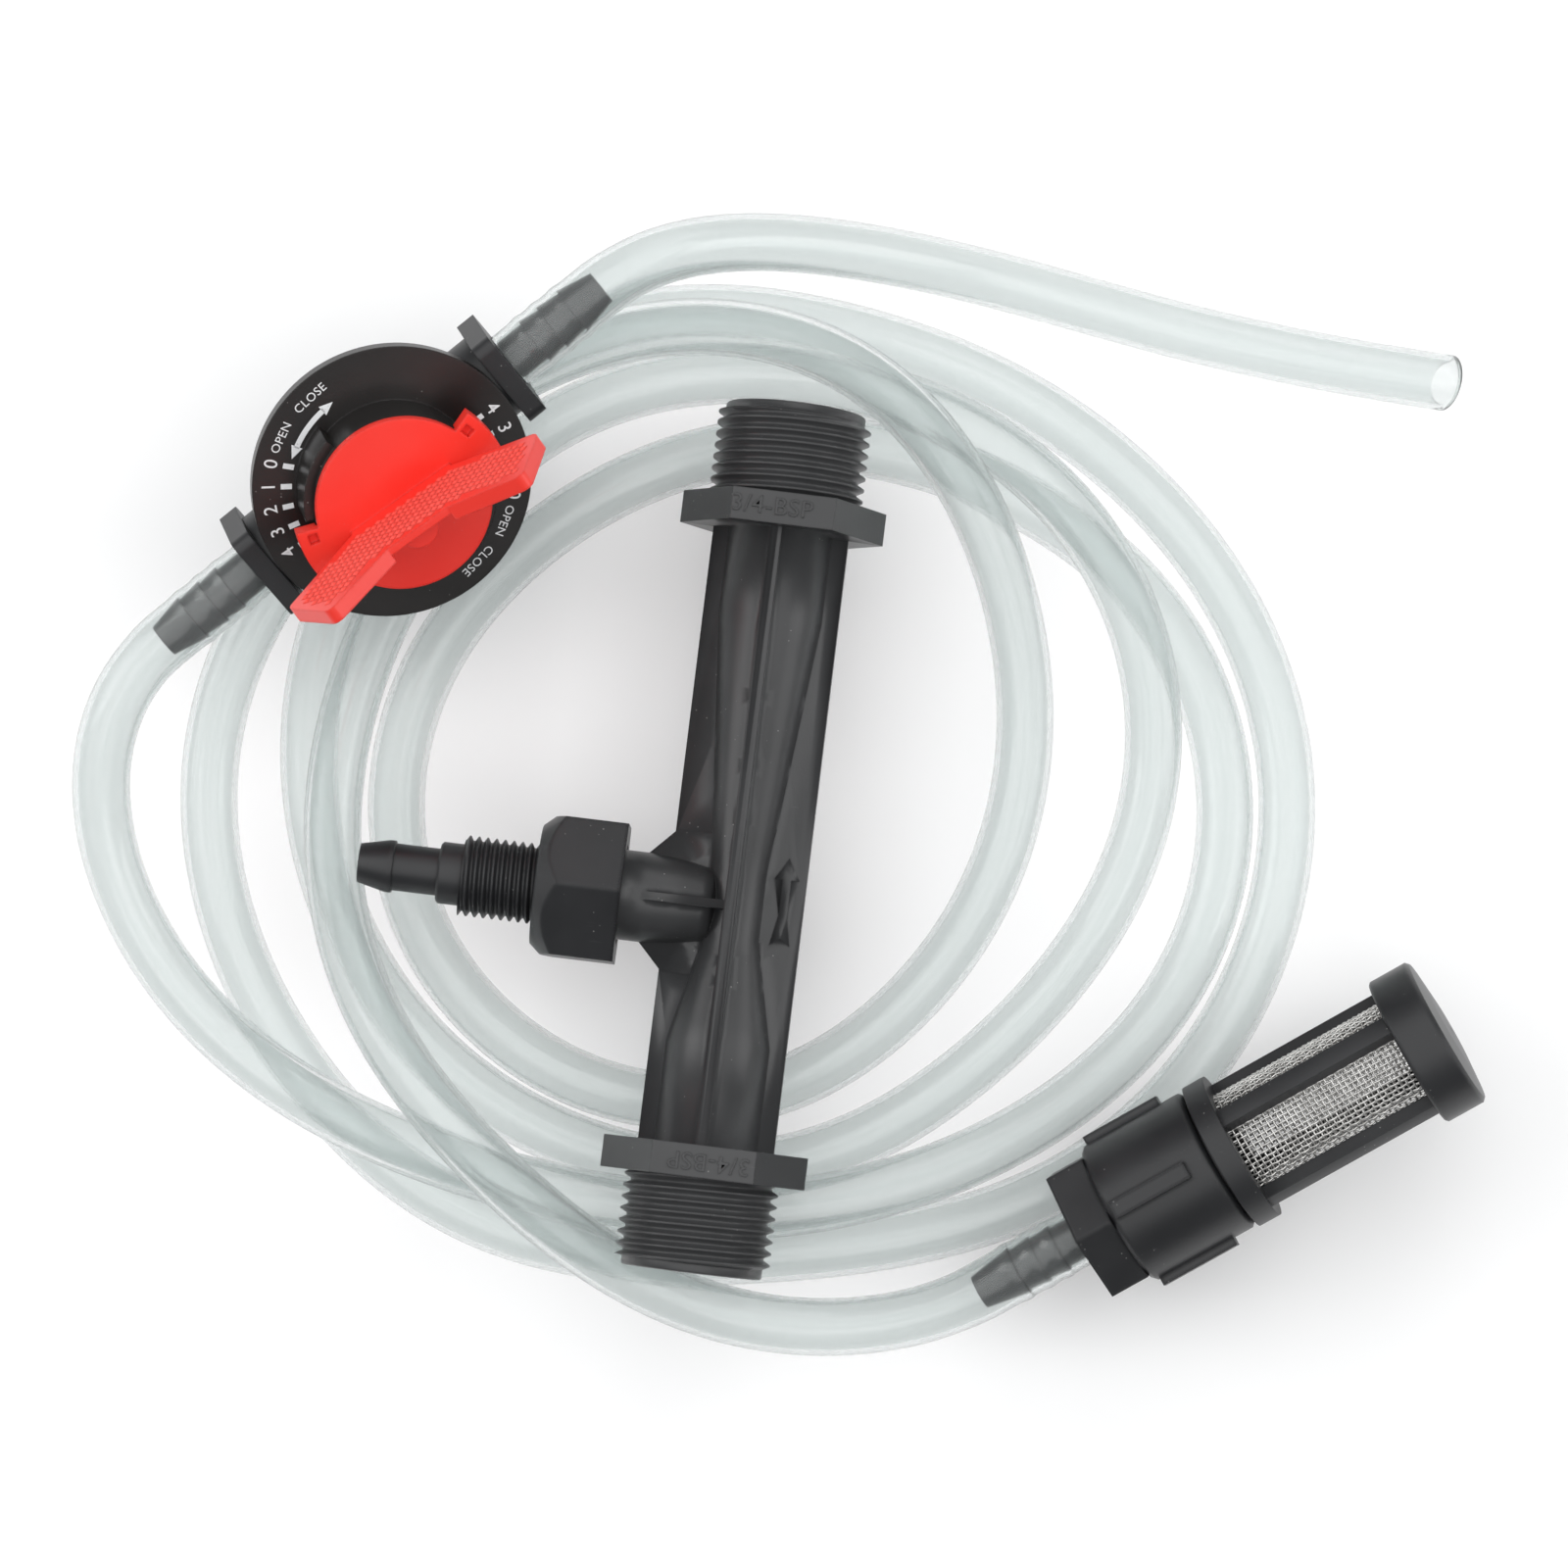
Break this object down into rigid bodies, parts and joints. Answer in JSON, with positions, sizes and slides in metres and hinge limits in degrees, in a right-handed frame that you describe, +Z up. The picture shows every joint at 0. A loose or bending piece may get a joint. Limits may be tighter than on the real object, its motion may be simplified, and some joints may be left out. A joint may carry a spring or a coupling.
{
  "type": "venturi fertilizer injector",
  "caption": "Venturi fertilizer injector with male threaded ends, a suction port, a dial valve with a wing knob, coiled clear suction hose and a mesh foot strainer.",
  "frame": {"origin": "centre of the injector's inlet face, on the flow axis", "axes": "+Y along the flow from inlet to outlet, -X out along the suction port, +Z up off the table that the set lies on"},
  "size_m": [0.2468, 0.197, 0.0755],
  "materials": {
    "black_plastic": "satin moulded black plastic with light scuffs",
    "dark_plastic": "smooth dark moulded plastic",
    "red_plastic": "semi-gloss red moulded plastic",
    "seat_plastic": "pale slick plastic",
    "steel": "plain stainless steel",
    "rubber": "black rubber",
    "clear_hose": "clear flexible hose"
  },
  "bodies": {
    "kit": {"injector_body": "black_plastic", "suction_tail": "black_plastic", "valve_body": "black_plastic", "valve_tail_left": "black_plastic", "valve_tail_right": "black_plastic", "strainer_tail": "black_plastic", "strainer_collar": "black_plastic", "strainer_cage": "black_plastic", "strainer_cap": "black_plastic", "suction_nut": "dark_plastic", "dial_plate": "dark_plastic", "check_ball": "seat_plastic", "ball_seat_left": "seat_plastic", "ball_seat_right": "seat_plastic", "strainer_mesh": "steel", "suction_gasket": "rubber", "tail_ring_left": "rubber", "tail_ring_right": "rubber", "strainer_gasket": "rubber", "feed_hose": "clear_hose", "suction_hose": "clear_hose"},
    "knob": {"knob": "red_plastic", "valve_stem": "steel", "valve_ball": "steel", "stem_ring": "rubber"}
  },
  "joints": [
    {"name": "knob_turn", "type": "hinge", "parent": "kit", "child": "knob", "pos_m": [-0.0692, 0.1304, 0.0024], "axis": [0.2809, -0.3839, 0.8796], "range_deg": [-40, 4]}
  ]
}
